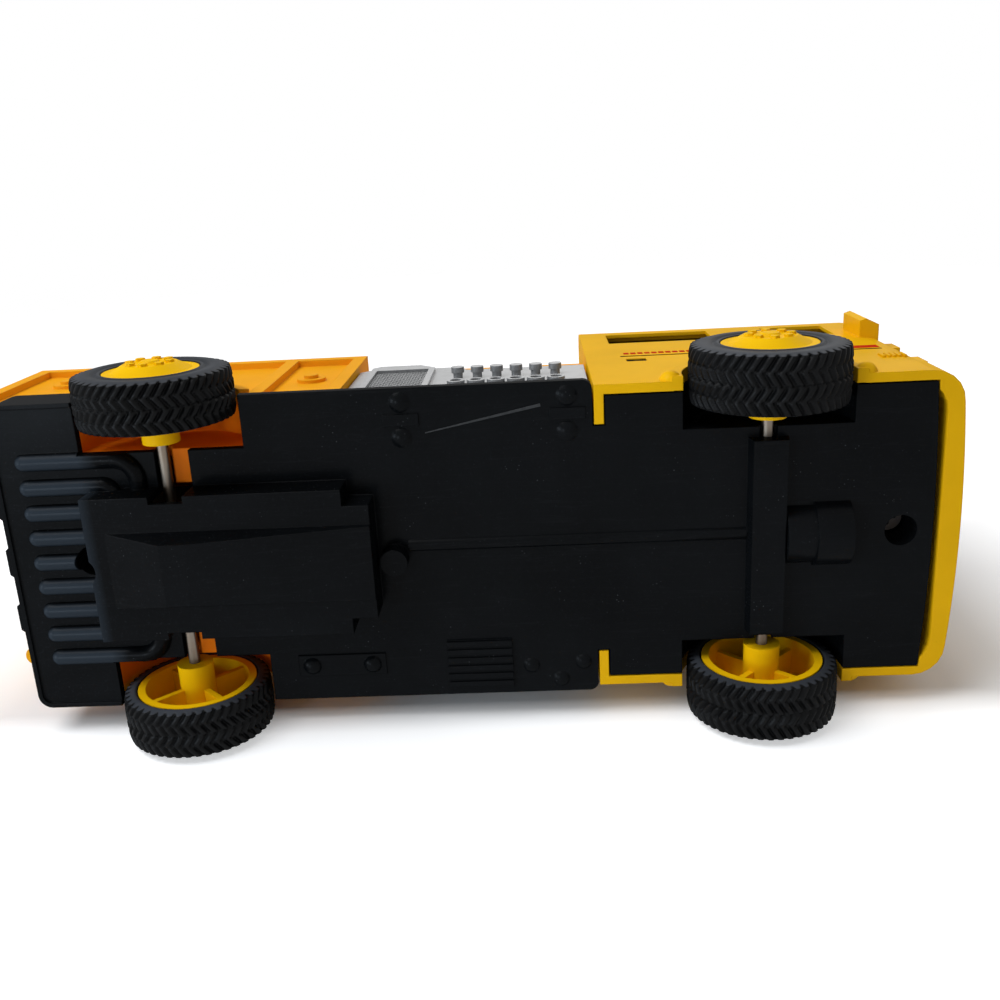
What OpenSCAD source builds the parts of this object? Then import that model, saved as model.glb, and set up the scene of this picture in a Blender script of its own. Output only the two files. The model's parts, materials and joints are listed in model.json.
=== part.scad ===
// Toy fire truck: black base, yellow crew cab, rear body, pump panels and a friction motor.
// +X is forward, +Y is the truck's left, +Z is up. The origin is on the ground under the middle.

/* [Overall] */
// Length from the bumper to the rear face of the rear body
length = 168.5; // [165:0.5:174]
// Width of the base at its widest part
base_w = 56; // [54.5:0.1:58]
// Height of the base's underside above the ground
ride_h = 12; // [11.4:0.1:12.4]
// Distance between the axles
wheelbase = 101; // [98:0.5:104]
// Distance from the front axle to the bumper face
front_overhang = 32.4; // [31.5:0.1:34]
// How far the rear body hangs over the rear edge of the base
rear_overhang = 6; // [4:0.1:7]

/* [Base] */
// Thickness of the base plate
base_t = 1.6; // [1.2:0.1:2]
// Height of the rim round the tailboard
rim_h = 8; // [6:0.5:10]
// Thickness of that rim
rim_t = 1.6; // [1.2:0.1:2]
// How far the tail knobs reach past the rim
tab_reach = 2.4; // [1.8:0.1:3]
// How far the front edge bows forward in the middle
front_bow = 0.9; // [0.5:0.1:1.3]
// Inner face of the wheel notches, from the centreline
well_in_y = 19; // [18.4:0.1:19.6]
// Gap between a tyre and its notch
wheel_gap = 1; // [0.6:0.1:1.6]
// Wall of the black wheel wells
well_t = 1.2; // [0.8:0.1:1.6]
// Length of the motor box under the base
box_len = 43.4; // [42.4:0.2:46]
// Width of the motor box
box_w = 25.6; // [25:0.1:28]
// Depth of the motor box below the base
box_deep = 6; // [5:0.1:6.4]
// Depth of the wedge below the motor box, at its deepest
wedge_deep = 3.2; // [3:0.1:3.8]
// Wall of the motor box
box_wall = 1.2; // [1:0.1:1.4]
// Number of moulded pipes on the tailboard
pipe_count = 9; // [5:2:9]
// Distance between the pipes
pipe_pitch = 4.5; // [4:0.1:4.6]
// Radius of a pipe
pipe_r = 1.5; // [1:0.1:1.8]
// Radius of the screw wells
well_r = 2.7; // [2.5:0.1:3]

/* [Cab] */
// Length of the cab, bumper included
cab_len = 60.9; // [59:0.1:63]
// Width of the cab
cab_w = 54.2; // [53.4:0.1:55.2]
// Height of the cab roof above the ground
roof_z = 68; // [65:0.5:74]
// Wall of the cab shell
cab_wall = 1.6; // [1.4:0.1:2]
// Height of the window sills above the ground
sill_z = 51.5; // [48:0.5:54]
// Height of the window openings
window_h = 10.5; // [8:0.5:12]
// How far the bumper stands ahead of the base
bumper_depth = 4.3; // [4:0.1:5.5]
// Height of the bumper
bumper_h = 9; // [6:0.5:12]
// Radius of the cab's front corners
corner_r = 5.4; // [4:0.2:6]

/* [Rear body] */
// Height of the rear body's top above the ground
body_z = 48.5; // [46:0.5:54]
// Wall of the rear body
body_wall = 1.6; // [1.2:0.1:2]
// How far the ribs stand out of the side panels
rib_h = 1.2; // [0.6:0.1:1.4]
// Width of the ribs
rib_w = 2.4; // [1.6:0.1:3]
// Depth of the hose bed
bed_deep = 10.5; // [6:0.5:12]
// Length of the pump section between the rear body and the cab
pump_len = 42; // [41:0.5:43]
// Height of the deck above the pump section
deck_z = 43; // [41:0.5:45]
// Thickness of a pump panel
panel_t = 1.6; // [1.2:0.1:1.8]
// Height of a pump panel above the base plate
panel_h = 25; // [24:0.5:26]

/* [Wheels] */
// Diameter of a tyre
tyre_d = 26; // [25.4:0.1:26.6]
// Width of a front tyre
front_tyre_w = 10; // [9:0.1:10.2]
// Width of a rear tyre
rear_tyre_w = 8.8; // [8:0.1:10]
// Width over the two tyres of an axle
track_w = 65.7; // [64.5:0.1:67]
// Radius of the hub's rim, which carries the tyre
rim_r = 10.4; // [9.6:0.1:10.8]
// Radius of the hub's outer disc
hub_disc_r = 7.8; // [7:0.1:8.4]
// Diameter of the axles and motor shafts
axle_d = 2; // [1.8:0.1:2.4]
// Number of lug nuts on a hub
lug_count = 8; // [5:1:9]

/* [Motor] */
// Module of the gears
gear_m = 0.6; // [0.56:0.01:0.6]
// Teeth of a gear wheel
wheel_teeth = 24; // [22:2:24]
// Teeth of a pinion
pinion_teeth = 10; // [10:2:12]
// Face width of a gear
gear_w = 3; // [2:0.1:3.2]
// Radius of the flywheel
flywheel_r = 8.5; // [6:0.1:8.6]
// Width of the flywheel
flywheel_w = 3.4; // [2:0.1:3.6]
// Climb of the gear train towards the front, in degrees
train_tilt = 22; // [20:1:26]

/* [Fits] */
// Gap between moulded pieces that sit side by side
fit_gap = 0.25; // [0.15:0.05:0.35]
// Radial clearance of a shaft that turns in a hole
run_gap = 0.06; // [0.03:0.01:0.09]

/* [Hidden] */
$fn = 64;
eps = 0.05;

// Places along the truck
bumper_x = length / 2;
tail_x = -length / 2;
base_rear_x = tail_x + rear_overhang;
front_axle_x = bumper_x - front_overhang;
rear_axle_x = front_axle_x - wheelbase;
cab_rear_x = bumper_x - cab_len;
face_back = 1.9;
cab_face_x = bumper_x - face_back;
base_front_x = bumper_x - bumper_depth - fit_gap;
base_top_z = ride_h + base_t;
axle_z = tyre_d / 2;
axle_r = axle_d / 2;
notch_r = tyre_d / 2 + wheel_gap;
tyre_out_y = track_w / 2;

// Plan of the base
half_w = base_w / 2;
cab_half = cab_w / 2;
tab_w = 5;
tab_in_y = cab_half - cab_wall - tab_w;
cab_in_y = cab_half - cab_wall - fit_gap;
body_rear_x = base_rear_x + rim_t + fit_gap;
pump_rear_x = cab_rear_x - fit_gap - pump_len;
skin_y = half_w - rim_t - fit_gap;
deck_y = skin_y - panel_t;
tail_r = 2.4;
base_corner_r = 1.5;
lip_w = 0.8;
lip_h = 0.4;

// Knobs of the rear body in the rear rim, and low blocks on the rear face
knob_r = 1.7;
knob_y = 19;
knob_low_z = base_top_z + 1;
knob_high_z = knob_low_z + 3;
tail_block_pitch = 10.5;
tail_block_half = 3.15;
tail_block_slope = 0.9;
tail_block_h = 1;

// Motor box and wedge
box_behind_axle = 12.8;
box_rear_x = rear_axle_x - box_behind_axle;
box_front_x = box_rear_x + box_len;
box_step = 4.4;
box_step_in = 2.8;
box_bottom_z = ride_h - box_deep;
wedge_half = 6.8;
wedge_slope = 1.4;
wedge_start = 3.2;
wedge_flat = [0.4, 4.5];
wedge_toe = 0.6;
box_floor_z = box_bottom_z + box_wall;
pocket_gap = 0.6;
axle_slot = [-1.3, 4.5];

// Fittings between the motor box and the cab, as shares of that length
belly_rear_x = rear_axle_x + notch_r;
belly_len = cab_rear_x - belly_rear_x;
plate_shares = [0.455, 0.925];
strap_share = 0.087;
tray_share = 0.542;
bolt_shares = [[0.795, 22.8], [0.884, 25.6], [0.952, 22.4]];
plate_h = 0.35;
bolt_r = 1.75;
bolt_h = 0.7;

// Front axle tunnel
tunnel_half = 3.3;
tunnel_end_gap = 1.8;
tunnel_end_y = well_in_y - tunnel_end_gap;
tunnel_deep = 2.6;
tunnel_draft = 0.5;
bearing_top = 3;
clear_h = 8;

// Screw wells
rear_well_x = box_rear_x - 1.9;
front_well_x = base_front_x - 5.3;
well_wall = 1.2;
well_h = 10;
screw_head_r = well_r - 0.3;
screw_head_h = 1.8;
screw_r = 1.2;
screw_play = 0.15;
screw_len = 9;
post_r = 3.4;

// Gear train
pitch_r_wheel = gear_m * wheel_teeth / 2;
pitch_r_pinion = gear_m * pinion_teeth / 2;
shaft_pitch = pitch_r_wheel + pitch_r_pinion;
tip_add = 0.8 * gear_m;
root_ded = gear_m;
backlash = 0.14;
idler_x = rear_axle_x + shaft_pitch * cos(train_tilt);
idler_z = axle_z + shaft_pitch * sin(train_tilt);
fly_x = idler_x + shaft_pitch * cos(train_tilt);
fly_z = idler_z + shaft_pitch * sin(train_tilt);
gear_gap = 0.5;
axle_gear_y = -gear_w / 2;
idler_wheel_y = axle_gear_y + gear_w + gear_gap;
flywheel_y = axle_gear_y - gear_w / 2 - gear_gap - flywheel_w / 2;
frame_t = 1.2;
frame_y = max(idler_wheel_y + gear_w / 2, -flywheel_y + flywheel_w / 2) + gear_gap;
pillar_r = 1.4;
frame_margin = 2.2;
frame_rear_x = rear_axle_x - 9;
frame_front_x = fly_x + 6;
frame_top_z = fly_z + 8;
pillars = [
    [rear_axle_x - 6.5, axle_z + 11],
    [idler_x - 4.5, idler_z + pitch_r_wheel + tip_add + pillar_r + 0.6],
    [fly_x + 4, box_floor_z + frame_margin]
];

// Windows, as start and end along the truck from the cab's rear face
rear_window = [5.4, 26];
front_window = [37, 49.4];
window_edge_t = 0.7;
window_rebate = 1.2;
windscreen_side = 6.1;
windscreen_half = cab_half - windscreen_side;
glass_t = 1;

// Lines of the cab's profile
face_lean = 3;
brow_in = 5;
brow_h = 2.5;
sill_drop = 4;
roof_r = 3;

// Flare, mirror and steps on the cab
flare_w = 1.8;
flare_h = 0.8;
flare_bump_r = 1.9;
mirror_back = 6.4;
mirror_len = 3.6;
mirror_out = 3.6;
mirror_slope = 1.2;
mirror_low = 6;
mirror_high = 5;
face_step_h = 5;
face_step_y = [cab_half - 5.6, cab_half - 2.1];
face_step_shares = [0.32, 0.58, 0.84];
handle_len = 3.6;
handle_h = 2.6;
handle_deep = 1;

// Roof light bar
bar_len = 8;
bar_half = 19;
bar_back = 16;
bar_base_h = 1;
lamp_half = 5.6;
lamp_pitch = 12.5;
lamp_h = 4;
lamp_in = 0.7;

// Rear body
tail_low_z = ride_h + rim_h + 4;
bed_side = 5;
bed_end = 3;
bed_slat_pitch = 12;
bed_slat_h = 0.5;
arch_w = 1.6;
boss_r = 2.6;
deck_block_len = 9;
deck_block_h = 2.4;
deck_block_starts = [16, 33];

// Pump panel
mesh_start = 2.4;
mesh_len = 11.8;
mesh_edge = 1.1;
mesh_frame_h = 0.7;
panel_step = 3;
panel_cut = 1.5;
cap_count = 6;
cap_start = 18.9;
cap_pitch = 3.45;
cap_r = 0.85;
cap_head_r = 1.15;
cap_out = 2;
cap_share = 0.576;
ring_share = 0.32;
ring_r = 1.55;
ring_bore_r = 0.95;
ring_out = 0.9;

// Points of a quarter circle round [cx, cy], from angle a
function arc(cx, cy, r, a, n = 5) = [
    for (i = [0 : n]) [cx + r * cos(a + 90 * i / n), cy + r * sin(a + 90 * i / n)]
];

// Points of an edge across the truck that bows back by front_bow from x at its ends
function bow(x, half, n = 8) = [for (i = [-n : n]) [x - front_bow * pow(i / n, 2), half * i / n]];

// Rear end of the base's plan, drawn in by d and open at front
function tail_plan(d, front) = concat(
    [[front, half_w - d]],
    arc(base_rear_x + tail_r, half_w - tail_r, tail_r - d, 90),
    arc(base_rear_x + tail_r, tail_r - half_w, tail_r - d, 180),
    [[front, d - half_w]]
);

// Cab profiles, all drawn in by d
function cab_side(d) = [
    [cab_rear_x + d, ride_h - eps],
    [cab_face_x - d, ride_h - eps],
    [cab_face_x - d, sill_z - sill_drop],
    [cab_face_x - face_lean - d, roof_z - brow_h],
    [cab_face_x - brow_in - d, roof_z - d],
    [cab_rear_x + d, roof_z - d]
];
function cab_section(d) = concat(
    [[cab_half - d, ride_h - eps]],
    arc(cab_half - roof_r - d, roof_z - roof_r - d, roof_r, 0),
    arc(roof_r + d - cab_half, roof_z - roof_r - d, roof_r, 90),
    [[d - cab_half, ride_h - eps]]
);
function cab_plan(d, front) = concat(
    [[cab_rear_x + d, d - cab_half]],
    arc(front - corner_r - d, corner_r + d - cab_half, corner_r, 270),
    arc(front - corner_r - d, cab_half - corner_r - d, corner_r, 0),
    [[cab_rear_x + d, cab_half - d]]
);

// Involute flank: radius to half tooth angle
function inv_deg(a) = tan(a) * 180 / PI - a;
function flank_half(r, teeth, base) =
    let (pitch_r = gear_m * teeth / 2)
    90 / teeth - backlash / 2 / pitch_r * 180 / PI
        + inv_deg(acos(base / pitch_r)) - inv_deg(r > base ? acos(base / r) : 0);

module gear_outline(teeth, first) {
    pitch_r = gear_m * teeth / 2;
    base = pitch_r * cos(20);
    root = pitch_r - root_ded;
    tip = pitch_r + tip_add;
    low = max(base, root);
    radii = [root, low + 0.02, (low + pitch_r) / 2, pitch_r, (pitch_r + tip) / 2, tip];
    last = len(radii) - 1;
    polygon([
        for (t = [0 : teeth - 1])
            for (k = [0 : 2 * last + 1])
                let (i = k <= last ? k : 2 * last + 1 - k)
                let (side = k <= last ? -1 : 1)
                let (a = first + 360 * t / teeth + side * flank_half(radii[i], teeth, base))
                [radii[i] * cos(a), radii[i] * sin(a)]
    ]);
}

// A gear that turns about Y at [x, z], with its middle at y
module gear(x, y, z, teeth, first, bore_r) {
    translate([x, y, z]) rotate([90, 0, 0]) difference() {
        linear_extrude(gear_w, center = true) gear_outline(teeth, first);
        cylinder(h = gear_w + 1, r = bore_r, center = true);
    }
}

// A cylinder along Y, from y0 to y1
module y_rod(x, z, r, y0, y1) {
    translate([x, y0, z]) rotate([-90, 0, 0]) cylinder(h = y1 - y0, r = r);
}

// A cylinder along X, from x0 to x1
module x_rod(x0, x1, y, z, r) {
    translate([x0, y, z]) rotate([0, 90, 0]) cylinder(h = x1 - x0, r = r);
}

// A block between two corners
module block(a, b) {
    translate(a) cube(b - a);
}

// An outline in XZ, carried from y0 to y1
module side_plate(points, y0, y1) {
    translate([0, y1, 0]) rotate([90, 0, 0]) linear_extrude(y1 - y0) polygon(points);
}

// The children on the right side, or on the left side
module on_side(left) {
    mirror([0, left ? 0 : 1, 0]) children();
}

// The children on both sides
module both_sides() {
    on_side(true) children();
    on_side(false) children();
}

// Wheel well of one side: inner wall and arch, round an axle at x
module wheel_well(x, arch_end_y, thick, clear) {
    difference() {
        y_rod(x, axle_z, notch_r + thick, well_in_y - thick, arch_end_y);
        y_rod(x, axle_z, notch_r, well_in_y, arch_end_y + 1);
        y_rod(x, axle_z, clear, well_in_y - thick - 1, well_in_y + 1);
        block([x - 2 * notch_r, 0, axle_z - 2 * notch_r], [x + 2 * notch_r, base_w, base_top_z]);
    }
}

// Plan of the base, without the notches
module base_plan() {
    step_x = cab_rear_x - fit_gap;
    tab_x = cab_rear_x + cab_wall + fit_gap;
    tab_y = tab_in_y - fit_gap;
    polygon(concat(
        tail_plan(0, rear_axle_x),
        arc(step_x - base_corner_r, base_corner_r - half_w, base_corner_r, 270),
        [[step_x, -tab_y], [tab_x, -tab_y], [tab_x, -cab_in_y]],
        bow(base_front_x, cab_in_y),
        [[tab_x, cab_in_y], [tab_x, tab_y], [step_x, tab_y]],
        arc(step_x - base_corner_r, half_w - base_corner_r, base_corner_r, 0)
    ));
}

// Motor box with its front step and its wedge
module motor_box() {
    step_half = box_w / 2 - box_step_in;
    step_end_x = box_front_x + box_step;
    wedge_low_z = box_bottom_z - wedge_deep;
    block([box_rear_x, -box_w / 2, box_bottom_z], [box_front_x, box_w / 2, base_top_z]);
    block([box_front_x - eps, -step_half, box_bottom_z], [step_end_x, step_half, ride_h + eps]);
    intersection() {
        side_plate([
            [box_rear_x + wedge_start, box_bottom_z + eps],
            [rear_axle_x + wedge_flat[0], wedge_low_z],
            [rear_axle_x + wedge_flat[1], wedge_low_z],
            [step_end_x, box_bottom_z - wedge_toe],
            [step_end_x, box_bottom_z + eps]
        ], -wedge_half, wedge_half);
        translate([box_rear_x, 0, 0]) rotate([90, 0, 90]) linear_extrude(box_len + box_step) polygon([
            [-wedge_half, box_bottom_z + 2 * eps],
            [wedge_slope - wedge_half, wedge_low_z - eps],
            [wedge_half - wedge_slope, wedge_low_z - eps],
            [wedge_half, box_bottom_z + 2 * eps]
        ]);
    }
}

// Half-round pipes on the tailboard, the outer ones bent in to the side of the box
module tail_pipes() {
    start_x = base_rear_x + 5.5;
    outer_y = pipe_pitch * (pipe_count - 1) / 2;
    leg_gap = 4.6;
    tight_bend = pipe_r + 0.3;
    wide_more = 2;
    for (i = [0 : pipe_count - 1]) {
        y = i * pipe_pitch - outer_y;
        past_box = abs(y) - box_w / 2;
        bend_r = tight_bend + min(wide_more, max(0, past_box - pipe_r));
        leg_x = rear_axle_x - leg_gap - (outer_y - abs(y));
        end_x = past_box > 0 ? leg_x - bend_r : box_rear_x + eps;
        x_rod(start_x, end_x, y, ride_h, pipe_r);
        translate([start_x, y, ride_h]) sphere(r = pipe_r);
        if (past_box > 0) on_side(y > 0) {
            translate([end_x - eps, abs(y) - bend_r, ride_h]) rotate_extrude(angle = 90)
                translate([bend_r, 0]) circle(r = pipe_r + eps);
            y_rod(leg_x - eps, ride_h, pipe_r, box_w / 2 - box_wall, abs(y) - bend_r + eps);
        }
    }
}

// A shallow dome on the underside, of radius r and height h
module dome(x, y, r, h) {
    ball_r = (r * r + h * h) / (2 * h);
    intersection() {
        translate([x, y, ride_h + ball_r - h]) sphere(r = ball_r);
        translate([x, y, ride_h - h]) cylinder(h = h + base_t, r = r);
    }
}

// Moulded fittings on the underside between the box and the cab
module belly_details() {
    ridge_y = -0.6;
    ridge_r = 1.2;
    ridge_in = 0.5;
    stud_x = box_front_x + box_step + 2.9;
    stud_r = 2.4;
    stud_h = 3;
    plate_half = 3;
    plate_y = [4.4 - half_w, 6.4 - half_w];
    bolt_ys = [2.4 - half_w, 8.4 - half_w];
    strap_x = belly_rear_x + strap_share * belly_len;
    strap_len = 15.6;
    strap_y = [half_w - 8.6, half_w - 4.6];
    strap_end = 2.4;
    tray_x = belly_rear_x + tray_share * belly_len;
    tray_len = 11.5;
    tray_y = half_w - 10.4;
    slat_pitch = 1.55;
    slat_w = 1;
    slat_count = 6;
    x_rod(stud_x + stud_r, front_axle_x - tunnel_half + eps, ridge_y, ride_h + ridge_in, ridge_r);
    translate([stud_x, 1.5, ride_h - stud_h]) cylinder(h = stud_h + base_t / 2, r = stud_r);
    for (share = plate_shares) {
        x = belly_rear_x + share * belly_len;
        for (y = bolt_ys)
            dome(x, y, bolt_r, bolt_h);
        block([x - plate_half, plate_y[0], ride_h - plate_h], [x + plate_half, plate_y[1], ride_h + eps]);
    }
    block([strap_x, strap_y[0], ride_h - plate_h], [strap_x + strap_len, strap_y[1], ride_h + eps]);
    for (x = [strap_x + strap_end, strap_x + strap_len - strap_end])
        dome(x, (strap_y[0] + strap_y[1]) / 2, bolt_r, 2 * bolt_h);
    for (i = [0 : slat_count - 1])
        block(
            [tray_x, tray_y + i * slat_pitch, ride_h - 2 * plate_h],
            [tray_x + tray_len, tray_y + i * slat_pitch + slat_w, ride_h + eps]
        );
    block(
        [tray_x, tray_y, ride_h - plate_h],
        [tray_x + tray_len, tray_y + slat_count * slat_pitch, ride_h + eps]
    );
    for (bolt = bolt_shares)
        dome(belly_rear_x + bolt[0] * belly_len, bolt[1], bolt_r - 0.3, bolt_h);
}

// Tunnel and bearing of the front axle, and the stepped barrel ahead of it
module front_tunnel() {
    low_z = ride_h - tunnel_deep;
    barrel_z = ride_h + 1.6;
    barrel_r = [5.4, 5.9];
    barrel_len = [4.8, 6];
    barrel_x = front_axle_x + tunnel_half - tunnel_draft / 2;
    barrel_step_x = barrel_x + barrel_len[0];
    side_plate([
        [front_axle_x - tunnel_half, axle_z + bearing_top],
        [front_axle_x - tunnel_half, ride_h],
        [front_axle_x - tunnel_half + tunnel_draft, low_z],
        [front_axle_x + tunnel_half - tunnel_draft, low_z],
        [front_axle_x + tunnel_half, ride_h],
        [front_axle_x + tunnel_half, axle_z + bearing_top]
    ], -tunnel_end_y, tunnel_end_y);
    x_rod(barrel_x, barrel_step_x + eps, 0, barrel_z, barrel_r[0]);
    x_rod(barrel_step_x, barrel_step_x + barrel_len[1], 0, barrel_z, barrel_r[1]);
}

// Knobs of the rear body that lock in the rear rim, or their slots, made with a gap of g
module tail_tabs(g) {
    end_x = base_rear_x - tab_reach + knob_r;
    both_sides() {
        block(
            [end_x, knob_y - knob_r - g, knob_low_z - g],
            [body_rear_x + 1, knob_y + knob_r + g, knob_high_z + g]
        );
        translate([end_x, knob_y, knob_low_z - g])
            cylinder(h = knob_high_z - knob_low_z + 2 * g, r = knob_r + g);
    }
}

// Rim round the tailboard, with a thin lip below and low blocks on its rear face
module tail_rim() {
    front = rear_axle_x - notch_r;
    difference() {
        translate([0, 0, ride_h - lip_h]) linear_extrude(rim_h + lip_h) polygon(tail_plan(0, front));
        translate([0, 0, ride_h - eps]) linear_extrude(rim_h + 1) polygon(tail_plan(rim_t, front + 1));
        translate([0, 0, ride_h - 1]) linear_extrude(1) polygon(tail_plan(lip_w, front + 1));
    }
    for (y = [-tail_block_pitch, 0, tail_block_pitch])
        translate([base_rear_x, y, ride_h + lip_h]) linear_extrude(rim_h / 2) polygon([
            [eps, -tail_block_half],
            [-tail_block_h, tail_block_slope - tail_block_half],
            [-tail_block_h, tail_block_half - tail_block_slope],
            [eps, tail_block_half]
        ]);
}

module chassis_base() {
    box_in = box_w / 2 - box_wall;
    axle_play = 0.5;
    color([0.07, 0.08, 0.09]) difference() {
        union() {
            difference() {
                union() {
                    translate([0, 0, ride_h]) linear_extrude(base_t) base_plan();
                    motor_box();
                    tail_pipes();
                    belly_details();
                    front_tunnel();
                }
                block(
                    [box_rear_x + box_wall, -box_in, box_floor_z],
                    [box_front_x - box_wall, box_in, base_top_z + clear_h]
                );
                block(
                    [base_rear_x + tail_r, -half_w, base_top_z],
                    [front_axle_x - tunnel_half, half_w, base_top_z + clear_h]
                );
                block(
                    [front_axle_x + tunnel_half, -half_w, base_top_z],
                    [bumper_x, half_w, base_top_z + clear_h]
                );
                y_rod(
                    rear_axle_x, axle_z, pitch_r_wheel + tip_add + pocket_gap,
                    axle_gear_y - gear_w / 2 - pocket_gap, axle_gear_y + gear_w / 2 + pocket_gap
                );
            }
            for (x = [rear_well_x, front_well_x])
                translate([x, 0, ride_h]) cylinder(h = well_h, r = well_r + well_wall);
            tail_rim();
            both_sides() wheel_well(front_axle_x, cab_in_y, well_t, axle_r + axle_play);
        }
        for (x = [front_axle_x, rear_axle_x])
            both_sides() block([x - notch_r, well_in_y, 0], [x + notch_r, half_w + 1, base_top_z + eps]);
        both_sides() block(
            [rear_axle_x + axle_slot[0], box_in - eps, 0],
            [rear_axle_x + axle_slot[1], well_in_y + 1, base_top_z + 1]
        );
        both_sides() block(
            [front_axle_x - axle_r - axle_play, tunnel_end_y, 0],
            [front_axle_x + axle_r + axle_play, well_in_y + 1, axle_z]
        );
        for (x = [rear_well_x, front_well_x]) {
            translate([x, 0, 0]) cylinder(h = ride_h + well_h - well_wall, r = well_r);
            translate([x, 0, 0]) cylinder(h = ride_h + well_h + 1, r = screw_r + screw_play);
        }
        y_rod(front_axle_x, axle_z, axle_r + run_gap, -half_w, half_w);
        tail_tabs(fit_gap);
    }
}

// Solid form of the cab, drawn in by d
module cab_form(d) {
    intersection() {
        side_plate(cab_side(d), -cab_half, cab_half);
        translate([cab_rear_x, 0, 0]) rotate([90, 0, 90]) linear_extrude(cab_len) polygon(cab_section(d));
        translate([0, 0, ride_h - 1]) linear_extrude(roof_z) polygon(cab_plan(d, cab_face_x));
    }
}

// One window opening of the side, between two distances from the cab's rear face, with its inner rebate
module side_window(span) {
    block(
        [cab_rear_x + span[0], 0, sill_z],
        [cab_rear_x + span[1], cab_half + 1, sill_z + window_h]
    );
    block(
        [cab_rear_x + span[0] - window_rebate, 0, sill_z - window_rebate],
        [cab_rear_x + span[1] + window_rebate, cab_half - window_edge_t, sill_z + window_h + window_rebate]
    );
}

// Details moulded on one side of the cab: flare, end bumps and mirror
module cab_side_details() {
    difference() {
        y_rod(front_axle_x, axle_z, notch_r + flare_w, cab_half - cab_wall, cab_half + flare_h);
        block(
            [front_axle_x - 2 * notch_r, 0, -notch_r],
            [front_axle_x + 2 * notch_r, base_w, ride_h]
        );
    }
    for (side = [-1, 1])
        translate([front_axle_x + side * (notch_r + flare_w), cab_half - flare_h / 2, ride_h + flare_bump_r])
            sphere(r = flare_bump_r);
    mirror_x = cab_face_x - mirror_back;
    translate([mirror_x, cab_half, sill_z - mirror_low]) linear_extrude(mirror_low + mirror_high) polygon([
        [0, -cab_wall],
        [mirror_len, -cab_wall],
        [mirror_len, mirror_out - mirror_slope],
        [mirror_len / 3, mirror_out],
        [0, mirror_out - mirror_slope / 3]
    ]);
}

// Door handle recesses cut into one side of the cab
module cab_side_cuts() {
    handle_z = sill_z - 20;
    for (window = [rear_window, front_window]) {
        x = cab_rear_x + window[0] + handle_len / 2;
        block([x, cab_half - handle_deep, handle_z], [x + handle_len, cab_half + 1, handle_z + handle_h]);
    }
}

// Bumper with its bowed front and round corners
module bumper() {
    back_x = base_front_x - 6;
    end_x = bumper_x - front_bow;
    translate([0, 0, ride_h]) linear_extrude(bumper_h) polygon(concat(
        [[back_x, -cab_half]],
        arc(end_x - corner_r, corner_r - cab_half, corner_r, 270),
        bow(bumper_x, cab_half - corner_r),
        arc(end_x - corner_r, cab_half - corner_r, corner_r, 0),
        [[back_x, cab_half]]
    ));
}

// Grille bars, lamp frames and corner steps on the cab's face
module cab_face_details() {
    face_z = ride_h + bumper_h;
    grille_half = 13;
    bar_count = 5;
    bar_pitch = 3;
    bar_h = 1.5;
    bar_out = 0.6;
    lamp_z = face_z + 6;
    lamp_ys = [15.2, 19];
    lamp_r = 1.8;
    lamp_bore_r = 1.3;
    lamp_out = 1.1;
    for (i = [0 : bar_count - 1]) {
        z = face_z + bar_pitch * (i + 1);
        block([cab_face_x - bar_out, -grille_half, z], [cab_face_x + bar_out, grille_half, z + bar_h]);
    }
    both_sides() {
        for (y = lamp_ys) difference() {
            x_rod(cab_face_x - lamp_out, cab_face_x + lamp_out, y, lamp_z, lamp_r);
            x_rod(cab_face_x + lamp_out / 2, cab_face_x + 2 * lamp_out, y, lamp_z, lamp_bore_r);
        }
        for (share = face_step_shares) {
            z = ride_h + share * (roof_z - ride_h);
            x = cab_face_x - face_lean * max(0, z - sill_z) / (roof_z - sill_z);
            block(
                [x - corner_r, face_step_y[0], z],
                [x + lamp_out, face_step_y[1], z + face_step_h]
            );
        }
    }
}

// Post for the front screw, with a web to the cab's face
module cab_post() {
    foot_z = ride_h + well_h;
    top_z = foot_z + screw_len + post_r;
    translate([front_well_x, 0, foot_z]) cylinder(h = top_z - foot_z, r = post_r);
    block([front_well_x, -post_r / 2, foot_z], [cab_face_x - cab_wall / 2, post_r / 2, top_z]);
}

module cab_shell() {
    inner_half = cab_half - cab_wall;
    door_h = 22;
    color([0.95, 0.72, 0.06]) difference() {
        union() {
            difference() {
                union() {
                    cab_form(0);
                    bumper();
                    both_sides() cab_side_details();
                    cab_face_details();
                }
                cab_form(cab_wall);
                linear_extrude(ride_h + bumper_h + cab_wall) polygon(concat(
                    [[cab_rear_x + cab_wall, -inner_half]],
                    bow(base_front_x + fit_gap, inner_half),
                    [[cab_rear_x + cab_wall, inner_half]]
                ));
                block([cab_rear_x - 1, -tab_in_y, 0], [cab_rear_x + cab_wall + 1, tab_in_y, ride_h + door_h]);
            }
            cab_post();
        }
        block([cab_rear_x - 1, -half_w, 0], [bumper_x + 1, half_w, ride_h]);
        both_sides() {
            side_window(rear_window);
            side_window(front_window);
            cab_side_cuts();
            y_rod(front_axle_x, axle_z, notch_r + well_t + fit_gap, well_in_y, inner_half + eps);
            y_rod(front_axle_x, axle_z, notch_r, well_in_y, half_w + flare_w);
        }
        block(
            [cab_face_x - 2 * brow_in, -windscreen_half, sill_z - 1],
            [cab_face_x + 2, windscreen_half, sill_z + window_h + 1]
        );
        translate([front_well_x, 0, 0]) cylinder(h = ride_h + well_h + screw_len, r = screw_r + run_gap);
    }
}

module window_insert() {
    edge = 3;
    color([0.16, 0.17, 0.19, 0.8]) intersection() {
        difference() {
            cab_form(cab_wall + fit_gap);
            cab_form(cab_wall + fit_gap + glass_t);
        }
        block(
            [cab_rear_x, -half_w, sill_z - edge],
            [bumper_x, half_w, roof_z - cab_wall - glass_t - fit_gap]
        );
    }
}

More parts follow.
